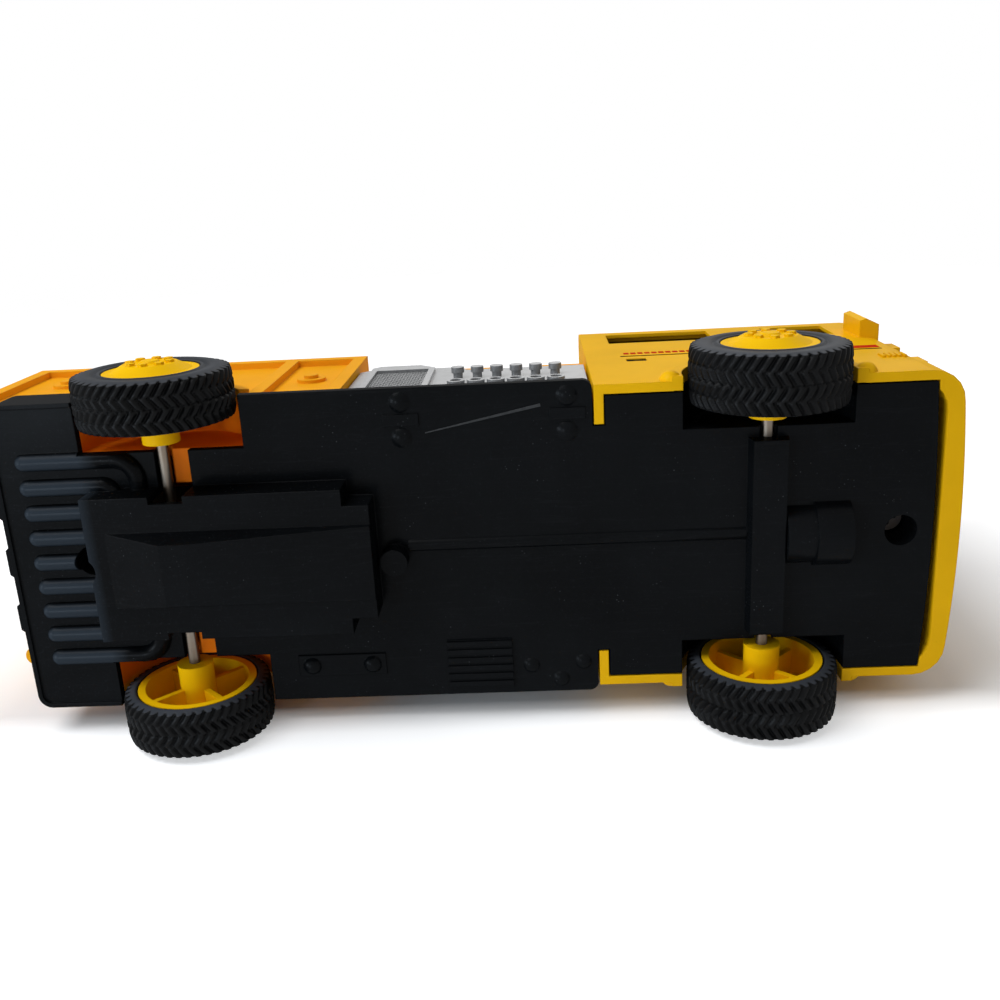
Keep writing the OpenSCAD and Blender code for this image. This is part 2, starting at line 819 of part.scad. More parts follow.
module light_bar() {
    bar_x = cab_face_x - bar_back;
    color([0.75, 0.08, 0.06]) {
        block([bar_x, -bar_half, roof_z], [bar_x + bar_len, bar_half, roof_z + bar_base_h]);
        for (y = [-lamp_pitch, 0, lamp_pitch])
            block(
                [bar_x + lamp_in, y - lamp_half, roof_z + bar_base_h / 2],
                [bar_x + bar_len - lamp_in, y + lamp_half, roof_z + bar_base_h / 2 + lamp_h]
            );
    }
}

// A raised frame with a boss in it, on one side panel of the rear body
module side_frame(x0, x1, z0, z1) {
    top = skin_y + rib_h;
    mid_x = (x0 + x1) / 2;
    mid_z = (z0 + z1) / 2;
    for (x = [x0, x1 - rib_w])
        block([x, skin_y - eps, z0], [x + rib_w, top, z1]);
    block([x0, skin_y - eps, z1 - rib_w], [x1, top, z1]);
    y_rod(mid_x, mid_z, boss_r, skin_y - eps, skin_y + rib_h / 2);
    y_rod(mid_x, mid_z, boss_r / 2, skin_y - eps, top);
}

// Details moulded on one side of the rear body
module body_side_details() {
    low = ride_h + rim_h + fit_gap;
    arch_r = notch_r + arch_w;
    arch_front = rear_axle_x + arch_r;
    arch_rear = rear_axle_x - arch_r;
    side_frame(arch_front - 1, pump_rear_x, base_top_z + fit_gap, body_z);
    side_frame(tail_x, arch_rear + 1, tail_low_z, body_z);
    block([arch_rear, skin_y - eps, body_z - rib_w], [arch_front, skin_y + rib_h, body_z]);
    difference() {
        y_rod(rear_axle_x, axle_z, arch_r, skin_y - 1, skin_y + rib_h);
        block([rear_axle_x - 2 * notch_r, 0, -notch_r], [rear_axle_x + 2 * notch_r, base_w, low]);
    }
}

// Shell of the rear body, before its wheel wells are cut
module body_shell() {
    bed_half = skin_y - bed_side;
    bed_z = body_z - bed_deep;
    inner_z = bed_z - body_wall;
    inner_y = skin_y - body_wall;
    deck_front_x = cab_rear_x - fit_gap;
    post_z = ride_h + well_h;
    difference() {
        union() {
            block([body_rear_x, -skin_y, base_top_z], [pump_rear_x, skin_y, body_z]);
            block([tail_x, -skin_y, tail_low_z], [body_rear_x + eps, skin_y, body_z]);
            block([pump_rear_x - eps, -deck_y, base_top_z], [deck_front_x, deck_y, deck_z]);
            for (x = deck_block_starts)
                block(
                    [pump_rear_x + x, -deck_y, deck_z - eps],
                    [pump_rear_x + x + deck_block_len, deck_y, deck_z + deck_block_h]
                );
            both_sides() body_side_details();
        }
        block(
            [body_rear_x + body_wall, -inner_y, base_top_z - 1],
            [pump_rear_x - body_wall, inner_y, inner_z]
        );
        block(
            [tail_x + body_wall, -inner_y, tail_low_z + body_wall],
            [body_rear_x + 2 * body_wall, inner_y, inner_z]
        );
        block(
            [pump_rear_x - 2 * body_wall, body_wall - deck_y, base_top_z - 1],
            [deck_front_x - body_wall, deck_y - body_wall, min(inner_z, deck_z - body_wall)]
        );
        block([tail_x + bed_end, -bed_half, bed_z], [pump_rear_x - bed_end, bed_half, body_z + 1]);
    }
    for (x = [pump_rear_x - bed_slat_pitch : -bed_slat_pitch : tail_x + bed_slat_pitch])
        block([x, -bed_half, bed_z - eps], [x + 1, bed_half, bed_z + bed_slat_h]);
    translate([rear_well_x, 0, post_z]) cylinder(h = bed_z - body_wall / 2 - post_z, r = post_r);
}

module rear_body() {
    axle_room = 1.4;
    saddle_h = 2.5;
    color([0.98, 0.68, 0.05]) {
        difference() {
            union() {
                body_shell();
                both_sides() wheel_well(rear_axle_x, skin_y, body_wall, axle_r + axle_room);
                both_sides() block(
                    [rear_axle_x + axle_r + fit_gap, box_w / 2 + fit_gap, base_top_z],
                    [rear_axle_x + axle_slot[1] + 1, well_in_y, base_top_z + saddle_h]
                );
                tail_tabs(0);
            }
            both_sides() y_rod(rear_axle_x, axle_z, notch_r, well_in_y, half_w + rib_h);
            translate([rear_well_x, 0, 0]) cylinder(h = ride_h + well_h + screw_len, r = screw_r + run_gap);
        }
    }
}

// One pump panel, with mesh frame, caps and ring fittings
module pump_panel(left) {
    front = cab_rear_x - 2 * fit_gap;
    rear = pump_rear_x + fit_gap;
    face = deck_y + panel_t;
    bottom = base_top_z;
    top = base_top_z + panel_h;
    mesh_rear = rear + mesh_start;
    mesh_front = mesh_rear + mesh_len;
    color([0.62, 0.63, 0.63]) on_side(left) {
        side_plate([
            [rear, bottom],
            [front, bottom],
            [front, top - panel_step],
            [mesh_front + 2 * panel_step, top - panel_step],
            [mesh_front + panel_step, top],
            [rear + panel_cut, top],
            [rear, top - panel_cut]
        ], deck_y, face);
        difference() {
            side_plate([
                [mesh_rear, bottom],
                [mesh_front, bottom],
                [mesh_front, top - 2 * panel_cut],
                [mesh_front - 2 * panel_cut, top],
                [mesh_rear + panel_cut, top],
                [mesh_rear, top - panel_cut]
            ], face - eps, face + mesh_frame_h);
            block(
                [mesh_rear + mesh_edge, 0, bottom + mesh_edge],
                [mesh_front - mesh_edge, half_w + 1, top - mesh_edge - 2 * panel_cut]
            );
        }
        for (i = [0 : cap_count - 1]) {
            x = rear + cap_start + i * cap_pitch;
            cap_z = bottom + cap_share * panel_h;
            ring_z = bottom + ring_share * panel_h;
            y_rod(x, cap_z, cap_r, face - eps, face + cap_out);
            y_rod(x, cap_z, cap_head_r, face + cap_out / 2, face + cap_out);
            difference() {
                y_rod(x, ring_z, ring_r, face - eps, face + ring_out);
                y_rod(x, ring_z, ring_bore_r, face + ring_out / 4, face + 2 * ring_out);
            }
        }
    }
}

module pump_panel_right() {
    pump_panel(false);
}

module pump_panel_left() {
    pump_panel(true);
}

module screws() {
    seat_z = ride_h + well_h - well_wall;
    cross_w = 0.6;
    cross_deep = 0.8;
    color([0.55, 0.55, 0.57]) for (x = [rear_well_x, front_well_x]) translate([x, 0, seat_z]) {
        difference() {
            translate([0, 0, -screw_head_h]) cylinder(h = screw_head_h, r = screw_head_r);
            for (a = [0, 90])
                rotate([0, 0, a]) translate([0, 0, -screw_head_h])
                    cube([screw_head_r * 1.2, cross_w, 2 * cross_deep], center = true);
        }
        translate([0, 0, -eps]) cylinder(h = screw_len, r = screw_r);
    }
}

// Axle along Y at x
module axle(x) {
    end_y = tyre_out_y - 1.8;
    color([0.6, 0.58, 0.55]) y_rod(x, axle_z, axle_r, -end_y, end_y);
}

module front_axle() {
    axle(front_axle_x);
}

module rear_axle() {
    axle(rear_axle_x);
}

// Hub at x, for a tyre of width w: rim, disc, boss, ribs, domed face, lug nuts and centre cap
module hub(x, w, left) {
    tyre_in_y = tyre_out_y - w;
    disc_in = tyre_out_y - 3.6;
    disc_out = tyre_out_y - 1.4;
    face = tyre_out_y - 0.2;
    dome_h = 1.2;
    crown_r = 4.4;
    lug_r = 0.8;
    lug_h = 0.4;
    lug_circle = crown_r - lug_r - 0.25;
    cap_top_r = 1.4;
    boss_out_r = 3.1;
    boss_gap = 1.4;
    boss_end = well_in_y + boss_gap;
    bead_t = 1.3;
    rib_t = 1.1;
    rib_deep = 4.4;
    bore_r = axle_r + 0.02;
    rim_in = tyre_in_y + 0.1;
    color([0.94, 0.72, 0.05]) on_side(left) translate([x, 0, axle_z]) rotate([-90, 0, 0]) difference() {
        union() {
            difference() {
                translate([0, 0, rim_in]) cylinder(h = disc_out - rim_in, r = rim_r);
                translate([0, 0, rim_in - 1]) cylinder(h = disc_in - rim_in + 1, r = rim_r - bead_t);
            }
            translate([0, 0, disc_out - eps]) cylinder(h = face - disc_out + eps, r = hub_disc_r);
            translate([0, 0, face - eps]) cylinder(h = dome_h + eps, r1 = hub_disc_r - rib_t, r2 = crown_r);
            translate([0, 0, boss_end]) cylinder(h = disc_in - boss_end + eps, r = boss_out_r);
            for (a = [45, 135])
                rotate([0, 0, a]) translate([0, 0, disc_in - rib_deep / 2])
                    cube([2 * rim_r - bead_t, rib_t, rib_deep], center = true);
            translate([0, 0, face + dome_h - eps]) {
                for (i = [0 : lug_count - 1])
                    rotate([0, 0, 360 * i / lug_count]) translate([lug_circle, 0, 0])
                        cylinder(h = lug_h + eps, r = lug_r, $fn = 6);
                cylinder(h = lug_h + eps, r1 = cap_top_r + lug_h, r2 = cap_top_r);
            }
        }
        translate([0, 0, boss_end - 1]) cylinder(h = disc_out - boss_end + 0.8, r = bore_r);
    }
}

module hub_front_right() {
    hub(front_axle_x, front_tyre_w, false);
}

module hub_front_left() {
    hub(front_axle_x, front_tyre_w, true);
}

module hub_rear_right() {
    hub(rear_axle_x, rear_tyre_w, false);
}

module hub_rear_left() {
    hub(rear_axle_x, rear_tyre_w, true);
}

// Tyre of width w at x: a ring with chamfered shoulders and a lip over the hub's face
module tyre(x, w, left) {
    r = tyre_d / 2;
    tyre_in_y = tyre_out_y - w;
    shoulder = 0.6;
    seat_gap = 0.06;
    lip_r = hub_disc_r + seat_gap;
    seat_r = rim_r + seat_gap;
    lip_y = tyre_out_y - 1.35;
    color([0.09, 0.09, 0.1]) on_side(left) translate([x, 0, axle_z]) rotate([-90, 0, 0]) rotate_extrude()
        polygon([
            [seat_r, tyre_in_y],
            [r - shoulder, tyre_in_y],
            [r, tyre_in_y + shoulder],
            [r, tyre_out_y - shoulder],
            [r - shoulder, tyre_out_y],
            [lip_r, tyre_out_y],
            [lip_r, lip_y],
            [seat_r, lip_y]
        ]);
}

module tyre_front_right() {
    tyre(front_axle_x, front_tyre_w, false);
}

module tyre_front_left() {
    tyre(front_axle_x, front_tyre_w, true);
}

module tyre_rear_right() {
    tyre(rear_axle_x, rear_tyre_w, false);
}

module tyre_rear_left() {
    tyre(rear_axle_x, rear_tyre_w, true);
}

// Side plate of the motor, standing on the floor of the motor box
module motor_frame(left) {
    color([0.8, 0.8, 0.78]) difference() {
        on_side(left) side_plate([
            [frame_rear_x, box_floor_z],
            [frame_front_x, box_floor_z],
            [frame_front_x, frame_top_z],
            [idler_x, frame_top_z],
            [frame_rear_x, idler_z + frame_margin + 6]
        ], frame_y, frame_y + frame_t);
        for (p = [[rear_axle_x, axle_z], [idler_x, idler_z], [fly_x, fly_z]])
            y_rod(p[0], p[1], axle_r + run_gap, -half_w, half_w);
    }
}

module motor_frame_right() {
    motor_frame(false);
}

module motor_frame_left() {
    motor_frame(true);
}

module motor_pillars() {
    color([0.7, 0.7, 0.7]) for (p = pillars) y_rod(p[0], p[1], pillar_r, -frame_y, frame_y);
}

// Fit of a gear that is pressed on its shaft
press_r = axle_r + 0.01;

module axle_gear() {
    color([0.9, 0.9, 0.85]) gear(rear_axle_x, axle_gear_y, axle_z, wheel_teeth, train_tilt, press_r);
}

module idler_shaft() {
    end_y = frame_y + frame_t + 0.4;
    color([0.6, 0.58, 0.55]) y_rod(idler_x, idler_z, axle_r, -end_y, end_y);
}

// Pinion that meets the axle gear and wheel that drives the flywheel, in one moulding
module idler_gear() {
    color([0.9, 0.9, 0.85]) {
        gear(idler_x, axle_gear_y, idler_z, pinion_teeth, train_tilt + 180 + 180 / pinion_teeth, press_r);
        gear(idler_x, idler_wheel_y, idler_z, wheel_teeth, train_tilt, press_r);
        difference() {
            y_rod(
                idler_x, idler_z, pitch_r_pinion - root_ded,
                axle_gear_y + gear_w / 2 - eps, idler_wheel_y - gear_w / 2 + eps
            );
            y_rod(idler_x, idler_z, press_r, -half_w, half_w);
        }
    }
}

module flywheel_shaft() {
    end_y = frame_y + frame_t + 0.4;
    color([0.6, 0.58, 0.55]) y_rod(fly_x, fly_z, axle_r, -end_y, end_y);
}

module flywheel_pinion() {
    color([0.75, 0.62, 0.3])
        gear(fly_x, idler_wheel_y, fly_z, pinion_teeth, train_tilt + 180 + 180 / pinion_teeth, press_r);
}

module flywheel() {
    color([0.45, 0.45, 0.47]) difference() {
        y_rod(fly_x, fly_z, flywheel_r, flywheel_y - flywheel_w / 2, flywheel_y + flywheel_w / 2);
        y_rod(fly_x, fly_z, press_r, -half_w, half_w);
    }
}

chassis_base();
cab_shell();
window_insert();
light_bar();
rear_body();
pump_panel_right();
pump_panel_left();
screws();
front_axle();
hub_front_right();
hub_front_left();
tyre_front_right();
tyre_front_left();
rear_axle();
hub_rear_right();
hub_rear_left();
tyre_rear_right();
tyre_rear_left();
motor_frame_right();
motor_frame_left();
motor_pillars();
axle_gear();
idler_shaft();
idler_gear();
flywheel_shaft();
flywheel_pinion();
flywheel();
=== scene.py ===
"""Looks of a toy fire truck that lies on its left side, its underside towards the camera."""
import json
import math

import bmesh
import bpy
from mathutils import Matrix, Vector


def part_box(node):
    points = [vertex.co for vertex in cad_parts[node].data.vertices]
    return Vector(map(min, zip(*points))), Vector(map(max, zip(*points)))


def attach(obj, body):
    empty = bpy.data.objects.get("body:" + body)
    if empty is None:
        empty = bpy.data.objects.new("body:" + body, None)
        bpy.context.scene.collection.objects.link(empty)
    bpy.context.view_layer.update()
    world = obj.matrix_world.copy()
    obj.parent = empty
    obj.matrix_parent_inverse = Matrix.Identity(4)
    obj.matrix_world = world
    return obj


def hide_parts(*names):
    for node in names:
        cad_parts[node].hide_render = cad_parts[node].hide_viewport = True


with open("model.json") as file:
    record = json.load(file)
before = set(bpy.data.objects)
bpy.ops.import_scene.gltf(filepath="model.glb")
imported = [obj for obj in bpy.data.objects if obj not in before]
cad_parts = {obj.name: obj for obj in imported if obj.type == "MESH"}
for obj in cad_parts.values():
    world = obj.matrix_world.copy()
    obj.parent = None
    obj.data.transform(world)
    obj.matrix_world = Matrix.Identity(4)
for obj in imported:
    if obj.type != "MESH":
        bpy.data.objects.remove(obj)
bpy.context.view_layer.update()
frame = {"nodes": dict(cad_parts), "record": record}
nodes = frame["nodes"]
MM = 0.001
SIDES = {"right": -1, "left": 1}

# Places taken from the frame, in metres
tyre_low, tyre_high = (Vector(c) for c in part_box("tyre_rear_left"))
cab_low, cab_high = (Vector(c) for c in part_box("cab_shell"))
panel_low, panel_high = (Vector(c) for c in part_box("pump_panel_left"))
AXLE_X = {
    "front": sum(c[0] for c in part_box("front_axle")) / 2,
    "rear": sum(c[0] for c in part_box("rear_axle")) / 2,
}
AXLE_Z = (tyre_low.z + tyre_high.z) / 2
TYRE_R = (tyre_high.z - tyre_low.z) / 2

# Faces of the CAD that no node's box gives: the cab's flat side, the cab's front behind the bumper, the belly
CAB_SIDE_Y = 27.1 * MM
CAB_FACE_X = cab_high.x - 1.9 * MM
BASE_Z = 12 * MM


# Node helpers

class Nodes:
    """Short names for the nodes that the materials use."""

    def __init__(self, name):
        self.material = bpy.data.materials.new(name)
        self.material.use_nodes = True
        self.tree = self.material.node_tree
        self.shader = self.tree.nodes["Principled BSDF"]
        self.place = self.add("ShaderNodeTexCoord").outputs["Object"]

    def add(self, kind, **settings):
        item = self.tree.nodes.new(kind)
        for key, value in settings.items():
            setattr(item, key, value)
        return item

    def link(self, out, socket):
        self.tree.links.new(out, socket)

    def split(self, vector):
        """The outputs X, Y and Z of a vector."""
        parts = self.add("ShaderNodeSeparateXYZ")
        self.link(vector, parts.inputs["Vector"])
        return parts.outputs

    def geometry(self, output):
        return self.add("ShaderNodeNewGeometry").outputs[output]

    def stretched(self, scale):
        """The place on the truck, with each axis scaled by itself."""
        item = self.add("ShaderNodeMapping")
        item.inputs["Scale"].default_value = scale
        self.link(self.place, item.inputs["Vector"])
        return item.outputs["Vector"]

    def noise(self, scale, detail=3.0, roughness=0.5, vector=None):
        item = self.add("ShaderNodeTexNoise")
        item.inputs["Scale"].default_value = scale
        item.inputs["Detail"].default_value = detail
        item.inputs["Roughness"].default_value = roughness
        self.link(vector or self.place, item.inputs["Vector"])
        return item.outputs["Fac"]

    def ramp(self, value, low, high, first=0.0, last=1.0):
        """A straight run from first to last while the value goes from low to high."""
        item = self.add("ShaderNodeMapRange")
        item.inputs["From Min"].default_value = low
        item.inputs["From Max"].default_value = high
        item.inputs["To Min"].default_value = first
        item.inputs["To Max"].default_value = last
        self.link(value, item.inputs["Value"])
        return item.outputs["Result"]

    def mix(self, factor, first, second):
        """Blend two colours. A Mix node keeps its colours in inputs 6 and 7 and in output 2."""
        item = self.add("ShaderNodeMix", data_type="RGBA")
        self.link(factor, item.inputs["Factor"])
        for socket, colour in ((item.inputs[6], first), (item.inputs[7], second)):
            if isinstance(colour, tuple):
                socket.default_value = (*colour, 1.0)
            else:
                self.link(colour, socket)
        return item.outputs[2]

    def math(self, kind, first, second):
        item = self.add("ShaderNodeMath", operation=kind)
        for socket, value in ((item.inputs[0], first), (item.inputs[1], second)):
            if isinstance(value, (int, float)):
                socket.default_value = value
            else:
                self.link(value, socket)
        return item.outputs["Value"]

    def size_of(self, value):
        return self.math("ABSOLUTE", value, 0.0)

    def product(self, first, second):
        return self.math("MULTIPLY", first, second)

    def surface(self, colour, roughness, height=None, depth=0.0, edge=0.0):
        """Wire colour, roughness and a bump of the given depth, over edges rounded by edge metres."""
        self.link(colour, self.shader.inputs["Base Color"])
        self.link(roughness, self.shader.inputs["Roughness"])
        normal = None
        if edge:
            rounded = self.add("ShaderNodeBevel", samples=4)
            rounded.inputs["Radius"].default_value = edge
            normal = rounded.outputs["Normal"]
        if height is not None:
            bump = self.add("ShaderNodeBump")
            bump.inputs["Strength"].default_value = 1.0
            bump.inputs["Distance"].default_value = depth
            self.link(height, bump.inputs["Height"])
            if normal:
                self.link(normal, bump.inputs["Normal"])
            normal = bump.outputs["Normal"]
        if normal:
            self.link(normal, self.shader.inputs["Normal"])
            self.link(normal, self.shader.inputs["Coat Normal"])

    def set(self, **sockets):
        """Set inputs of the shader, each named with _ for a space, and give the finished material."""
        for key, value in sockets.items():
            self.shader.inputs[key.replace("_", " ")].default_value = value
        return self.material


def shade(colour, factor):
    return tuple(min(1.0, c * factor) for c in colour)


def background_ray(tree):
    """1 for a ray that shows the background to the camera, straight, in a mirror or through glass."""
    path = tree.nodes.new("ShaderNodeLightPath")
    seen = path.outputs["Is Camera Ray"]
    for ray in ("Is Glossy Ray", "Is Transmission Ray"):
        either = tree.nodes.new("ShaderNodeMath")
        either.operation = "MAXIMUM"
        tree.links.new(seen, either.inputs[0])
        tree.links.new(path.outputs[ray], either.inputs[1])
        seen = either.outputs["Value"]
    return seen


# Materials

CAB_YELLOW = (0.88, 0.47, 0.005)
BODY_ORANGE = (0.92, 0.4, 0.012)
SHADED_ORANGE = (0.85, 0.19, 0.005)
HUB_YELLOW = (0.95, 0.54, 0.003)
ALONG_X = (0.1, 1, 1)
ALONG_Y = (1.0, 0.06, 1.0)
EVEN = (1, 1, 1)

# Where a body's colour gets painted shade: within the skin, below the bed, ahead of the tail
SKIN_Y = (24.5 * MM, 26.0 * MM)
BED_Z = (28 * MM, 34 * MM)
TAIL_X = (-78 * MM, -74 * MM)

# Where the black base gets a painted sheen on its dust film, and where its pipe crests get a painted highlight
SHEEN_TAIL_X = (-80 * MM, -20 * MM)
PIPE_HIGHLIGHT_X = (-63 * MM, -60 * MM)
PIPE_CREST_Z = (BASE_Z - 1.3 * MM, BASE_Z - 0.5 * MM)


def painted_shade_inside(n):
    """Mask of the painted shade: 1 low inside the truck, and 0 on the outer skin and the tail."""
    place = n.split(n.place)
    inside = n.ramp(n.size_of(place["Y"]), *SKIN_Y, 1.0, 0.0)
    low = n.ramp(place["Z"], *BED_Z, 1.0, 0.0)
    return n.product(n.product(inside, low), n.ramp(place["X"], *TAIL_X))


def gloss_plastic(name, colour, rough=0.24, edge=0.25 * MM, painted_shade=None):
    """Moulded glossy plastic: slight flow marks, dust in patches, fine scuffs, and painted shade low inside."""
    n = Nodes(name)
    flow = n.noise(45, 4, 0.6)
    cloud = n.mix(n.ramp(flow, 0.3, 0.7), shade(colour, 0.92), shade(colour, 1.05))
    dust = n.ramp(n.noise(900, 6, 0.7), 0.66, 0.78)
    dust_and_shade = n.mix(n.product(dust, 0.35), cloud, shade(colour, 0.55))
    # Painted shade: the colour turns deeper orange low inside the wheel wells and under the bed
    if painted_shade:
        dust_and_shade = n.mix(painted_shade_inside(n), dust_and_shade, painted_shade)
    scuff = n.noise(70, 2, 0.5, n.stretched((4.0, 40.0, 30.0)))
    rough_map = n.ramp(scuff, 0.35, 0.75, rough - 0.06, rough + 0.14)
    height = n.math("ADD", n.noise(1400, 2), n.product(scuff, 0.08))
    n.surface(dust_and_shade, rough_map, height, 0.008 * MM, edge)
    return n.set(Specular_IOR_Level=0.0, Coat_Weight=0.08, Coat_Roughness=rough)


def black_plastic(name):
    """Black moulded base: fine mould grain, pale dust specks, faint scratches, a dust film with a painted sheen
    towards the tail, and a painted highlight on the pipes' crests.
    """
    n = Nodes(name)
    place = n.split(n.place)
    patch = n.ramp(n.noise(28, 5, 0.65), 0.35, 0.7)
    tone = n.mix(patch, (0.0022, 0.0026, 0.003), (0.0045, 0.0052, 0.006))
    # Dust film, with a painted sheen that grows towards the tail
    sheen_to_tail = n.ramp(place["X"], *SHEEN_TAIL_X, 1.0, 0.45)
    dust_and_sheen = n.product(n.ramp(n.noise(1900, 5, 0.75), 0.56, 0.76, 0.0, 0.6), sheen_to_tail)
    dust_and_sheen_tone = n.mix(dust_and_sheen, tone, (0.021, 0.024, 0.028))
    specks = n.add("ShaderNodeTexVoronoi", feature="F1")
    specks.inputs["Scale"].default_value = 1100
    n.link(n.place, specks.inputs["Vector"])
    near = n.ramp(specks.outputs["Distance"], 0.05, 0.16, 1.0, 0.0)
    rare = n.ramp(n.noise(210, 3), 0.55, 0.66)
    dusty = n.mix(n.product(n.product(near, rare), 0.4), dust_and_sheen_tone, (0.1, 0.105, 0.11))
    # Painted highlight: pale bluish crests on the pipes at the tail
    crest = n.ramp(place["Z"], *PIPE_CREST_Z, 1.0, 0.0)
    rear = n.ramp(place["X"], *PIPE_HIGHLIGHT_X, 0.45, 0.0)
    painted_highlight = n.mix(n.product(crest, rear), dusty, (0.045, 0.06, 0.078))
    scratch = n.noise(30, 2, 0.5, n.stretched((1.0, 26.0, 6.0)))
    line = n.ramp(n.size_of(n.math("SUBTRACT", scratch, 0.5)), 0.0, 0.012, 0.12, 0.0)
    worn = n.mix(line, painted_highlight, (0.02, 0.021, 0.023))
    rough = n.ramp(n.noise(160, 4), 0.3, 0.7, 0.36, 0.56)
    grain = n.math("ADD", n.noise(2600, 3, 0.6), n.product(n.noise(500, 2), 0.8))
    n.surface(worn, rough, grain, 0.004 * MM, 0.3 * MM)
    return n.set(Specular_IOR_Level=0.0, Coat_Weight=0.085, Coat_Roughness=0.24)


def tyre_rubber(name):
    """Soft black rubber with a dusty bloom, and a paler, bluish tone on the sidewalls, which face along the axle:
    a painted sheen of the sky.
    """
    n = Nodes(name)
    bloom = n.ramp(n.noise(60, 5, 0.65), 0.3, 0.75)
    tread = n.mix(bloom, (0.0024, 0.0025, 0.0027), (0.006, 0.0062, 0.0066))
    # Painted sheen: the sidewalls, which face along the axle, are paler and bluish
    sidewall_sheen = n.mix(bloom, (0.03, 0.033, 0.038), (0.055, 0.06, 0.07))
    sideways = n.size_of(n.split(n.geometry("Normal"))["Y"])
    tone = n.mix(n.ramp(sideways, 0.7, 0.95), tread, sidewall_sheen)
    dust = n.ramp(n.noise(1100, 5, 0.7), 0.62, 0.74)
    dusty = n.mix(n.product(dust, 0.25), tone, (0.04, 0.042, 0.046))
    rough = n.ramp(n.noise(300, 3), 0.3, 0.7, 0.42, 0.62)
    n.surface(dusty, rough, n.noise(2200, 4, 0.6), 0.02 * MM)
    return n.set(Specular_IOR_Level=0.0, Coat_Weight=0.16, Coat_Roughness=0.34)


def metal(name, colour, rough, grain_axis, tarnish=0.5):
    """Drawn or stamped metal with streaks along one axis and dull patches."""
    n = Nodes(name)
    streak = n.noise(160, 4, 0.7, n.stretched(grain_axis))
    patch = n.ramp(n.noise(220, 4, 0.7), 0.45, 0.7)
    bright = n.mix(streak, shade(colour, 0.75), shade(colour, 1.15))
    toned = n.mix(n.product(patch, tarnish), bright, (0.16, 0.11, 0.07))
    rough_map = n.ramp(streak, 0.2, 0.8, rough - 0.08, rough + 0.15)
    n.surface(toned, rough_map, streak, 0.02 * MM)
    return n.set(Metallic=1.0)


def silver_plastic(name):
    """Grey plastic with metal flake and patches of grime."""
    n = Nodes(name)
    flake = n.noise(2400, 3, 0.7)
    tone = n.mix(flake, (0.19, 0.193, 0.196), (0.37, 0.375, 0.38))
    grime = n.ramp(n.noise(260, 4, 0.6), 0.5, 0.8, 0.0, 0.4)
    worn = n.mix(grime, tone, (0.09, 0.09, 0.088))
    n.surface(worn, n.ramp(flake, 0.3, 0.7, 0.3, 0.45), flake, 0.015 * MM, 0.12 * MM)
    return n.set(Metallic=0.35)


def smoked_window(name):
    """Dark glossy window plastic with a little haze."""
    n = Nodes(name)
    haze = n.ramp(n.noise(120, 4), 0.3, 0.75)
    tone = n.mix(haze, (0.006, 0.0065, 0.007), (0.02, 0.021, 0.023))
    n.surface(tone, n.ramp(haze, 0.0, 1.0, 0.06, 0.16), n.noise(300, 2), 0.004 * MM, 0.15 * MM)
    return n.set(Specular_IOR_Level=0.5)


def lens(name, colour):
    """Tinted lamp plastic with fine flutes."""
    n = Nodes(name)
    wave = n.add("ShaderNodeTexWave", bands_direction="Y")
    wave.inputs["Scale"].default_value = 420
    n.link(n.place, wave.inputs["Vector"])
    flute = wave.outputs["Fac"]
    tone = n.mix(flute, shade(colour, 0.75), shade(colour, 1.1))
    n.surface(tone, n.ramp(n.noise(400, 3), 0.3, 0.7, 0.12, 0.24), flute, 0.05 * MM, 0.2 * MM)
    return n.set(Specular_IOR_Level=0.5)


def printed(name, colour, wear=0.25):
    """Thin print, rubbed through to the cab's colour in places."""
    n = Nodes(name)
    rub = n.ramp(n.noise(700, 5, 0.7), 0.5, 0.68, 0.0, wear)
    tone = n.mix(rub, colour, CAB_YELLOW)
    n.surface(tone, n.ramp(rub, 0.0, 1.0, 0.3, 0.45), n.noise(1500, 2), 0.01 * MM)
    return n.set(Specular_IOR_Level=0.0)


def scuffed(name, colour):
    """Dull plastic of an uneven tone."""
    n = Nodes(name)
    tone = n.mix(n.noise(1200, 4, 0.7), shade(colour, 0.5), shade(colour, 1.3))
    n.surface(tone, n.ramp(n.noise(500, 2), 0.3, 0.7, 0.5, 0.7))
    return n.set(Specular_IOR_Level=0.0)


MATERIALS = {
    "black_plastic": black_plastic("moulded_black"),
    "cab_yellow": gloss_plastic("moulded_cab_yellow", CAB_YELLOW),
    "body_orange": gloss_plastic("moulded_body_orange", BODY_ORANGE, 0.3, painted_shade=SHADED_ORANGE),
    "hub_yellow": gloss_plastic("moulded_hub_yellow", HUB_YELLOW, 0.28, 0.18 * MM),
    "pump_silver": silver_plastic("moulded_silver"),
    "smoked_window": smoked_window("smoked_plastic"),
    "red_lens": lens("red_lamp_plastic", (0.55, 0.012, 0.008)),
    "tyre_rubber": tyre_rubber("soft_rubber"),
    "axle_steel": metal("axle_rod", (0.2, 0.17, 0.14), 0.32, ALONG_Y),
    "screw_steel": metal("screw_plate", (0.12, 0.12, 0.125), 0.45, EVEN),
    "frame_steel": metal("stamped_sheet", (0.6, 0.6, 0.58), 0.4, ALONG_X, 0.2),
    "gear_nylon": gloss_plastic("natural_nylon", (0.72, 0.7, 0.62), 0.4, 0.05 * MM),
    "pinion_brass": metal("turned_brass", (0.7, 0.5, 0.2), 0.3, ALONG_Y, 0.2),
    "flywheel_iron": metal("sintered_iron", (0.3, 0.3, 0.31), 0.5, EVEN, 0.4),
}
RED_PRINT = printed("red_print", (0.6, 0.03, 0.01))
DARK_PRINT = printed("dark_print", (0.012, 0.01, 0.008))
CLEAR_LENS = lens("clear_lamp_plastic", (0.6, 0.62, 0.62))
PALE_SCUFF = scuffed("pale_scuff", (0.055, 0.056, 0.057))
MESH_SHADE = scuffed("mesh_shade", (0.11, 0.11, 0.112))


